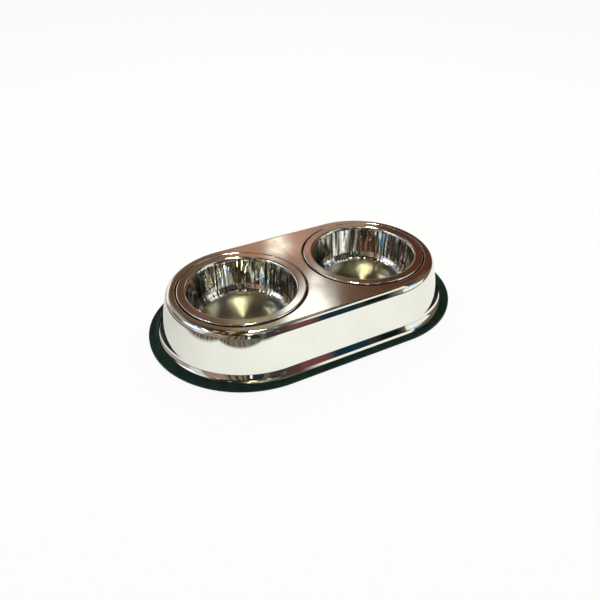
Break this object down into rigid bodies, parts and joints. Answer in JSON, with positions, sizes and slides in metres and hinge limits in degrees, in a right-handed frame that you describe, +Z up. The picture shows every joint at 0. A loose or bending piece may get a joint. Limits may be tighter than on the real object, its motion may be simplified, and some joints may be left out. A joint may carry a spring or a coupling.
{
  "type": "double pet bowl",
  "caption": "Racetrack-shaped pressed steel stand on a rubber ring, holding round lift-out feeding bowls in stepped seats.",
  "frame": {"origin": "on the floor under the middle of the stand", "axes": "+X along the stand from the left bowl to the right bowl, +Z up"},
  "size_m": [0.376, 0.225, 0.057],
  "materials": {
    "stand_steel": "satin top, mirror-polished shoulder and skirt",
    "bowl_steel": "mirror-polished wall, satin rim, circular-brushed floor",
    "base_rubber": "matt moulded rubber, green-black"
  },
  "bodies": {
    "stand": {"stand_shell": "stand_steel", "rubber_base_ring": "base_rubber"},
    "left_bowl": {"left_bowl": "bowl_steel"},
    "right_bowl": {"right_bowl": "bowl_steel"}
  },
  "joints": [
    {"name": "left_bowl_lift", "type": "slide", "parent": "stand", "child": "left_bowl", "axis": [0, 0, 1], "range_m": [0, 0.06]},
    {"name": "right_bowl_lift", "type": "slide", "parent": "stand", "child": "right_bowl", "axis": [0, 0, 1], "range_m": [0, 0.06]}
  ]
}
